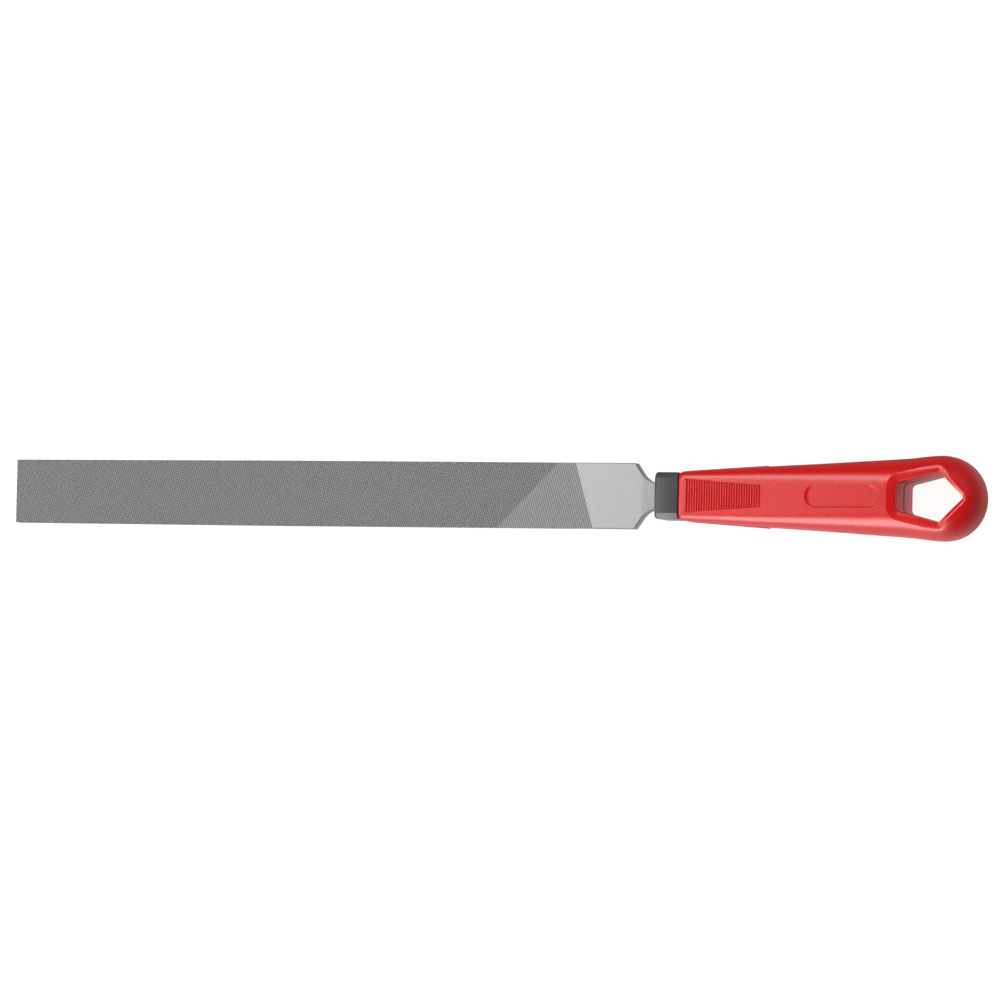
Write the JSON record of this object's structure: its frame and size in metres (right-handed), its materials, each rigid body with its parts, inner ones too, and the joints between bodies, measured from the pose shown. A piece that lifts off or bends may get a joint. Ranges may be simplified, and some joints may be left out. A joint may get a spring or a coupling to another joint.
{
  "type": "flat file",
  "caption": "Flat hand file: a parallel steel blade with cut faces and a plain heel, its tang held in a ribbed red grip with a dark collar and a pentagonal hanging hole.",
  "frame": {"origin": "centre of the file's box, on the blade's middle plane and on the axis through blade and grip", "axes": "+X from the tip towards the butt of the grip, +Y across the blade's width, +Z out of a broad face"},
  "size_m": [0.3865, 0.0322, 0.0284],
  "materials": {
    "blade_steel": "hardened file steel, satin-ground heel and edges, grey cut faces",
    "insert_plastic": "dark grey moulded plastic, fine matte",
    "grip_plastic": "red moulded plastic, semi-gloss"
  },
  "bodies": {
    "root": {"file_blade": "blade_steel", "tang_insert": "insert_plastic", "grip": "grip_plastic"}
  },
  "joints": []
}
